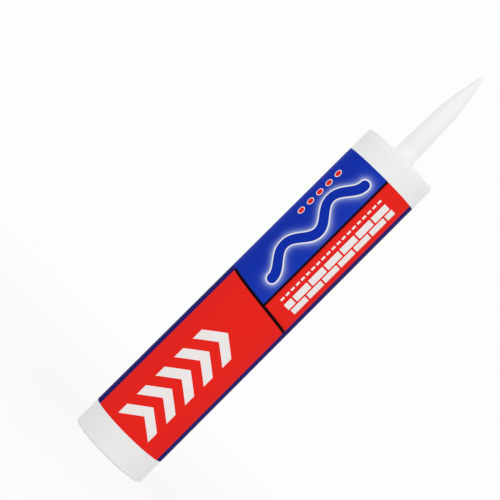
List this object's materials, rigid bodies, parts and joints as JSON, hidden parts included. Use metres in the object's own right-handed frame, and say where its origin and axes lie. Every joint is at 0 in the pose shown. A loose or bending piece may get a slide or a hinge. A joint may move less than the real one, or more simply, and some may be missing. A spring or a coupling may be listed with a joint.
{
  "type": "construction adhesive cartridge",
  "caption": "Round plastic cartridge for a caulking gun, with a closed two-stage nozzle, a wrap-round film label, a paste filling and a lipped plunger that slides in its bore.",
  "frame": {"origin": "centre of the rear rim's plane, on the cartridge's axis", "axes": "+Z along the axis towards the nozzle's tip; -Y is the side of the label that faces the camera in the picture"},
  "size_m": [0.0501, 0.0502, 0.297],
  "materials": {
    "body": "white polyethylene, satin",
    "label": "printed film, satin",
    "foil": "foil",
    "paste": "wet paste",
    "plunger": "natural polyethylene, satin"
  },
  "bodies": {
    "cartridge": {"cartridge_body": "body", "label": "label", "inner_seal": "foil", "adhesive_fill": "paste"},
    "plunger": {"plunger": "plunger"}
  },
  "joints": [
    {"name": "plunger_slide", "type": "slide", "parent": "cartridge", "child": "plunger", "axis": [0, 0, 1], "range_m": [0, 0.175], "deforming": ["adhesive_fill"]}
  ]
}
